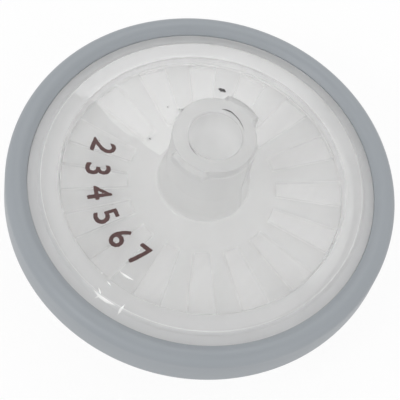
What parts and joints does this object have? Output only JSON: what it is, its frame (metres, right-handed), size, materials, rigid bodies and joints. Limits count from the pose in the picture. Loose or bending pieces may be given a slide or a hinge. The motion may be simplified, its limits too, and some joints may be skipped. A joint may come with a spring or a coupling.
{
  "type": "syringe filter",
  "caption": "Disc syringe filter: clear luer-lock inlet hub and plate, clear outlet half with a luer slip tip, white filter disc and a blue-grey clamping ring.",
  "frame": {"origin": "middle of the outlet tip's end face, on the filter's axis", "axes": "+Z along the axis from the outlet tip to the inlet hub, +X through the middle of one of the hub's two lugs"},
  "size_m": [0.033, 0.033, 0.0192],
  "materials": {
    "clear_plastic": "clear natural polypropylene, slightly milky, glossy",
    "ring_plastic": "blue-grey moulded plastic, satin",
    "filter_fleece": "white glass-fibre fleece",
    "ink": "dark red-brown printing ink"
  },
  "bodies": {
    "root": {"inlet_housing": "clear_plastic", "outlet_housing": "clear_plastic", "filter_disc": "filter_fleece", "overmould_ring": "ring_plastic"}
  },
  "joints": []
}
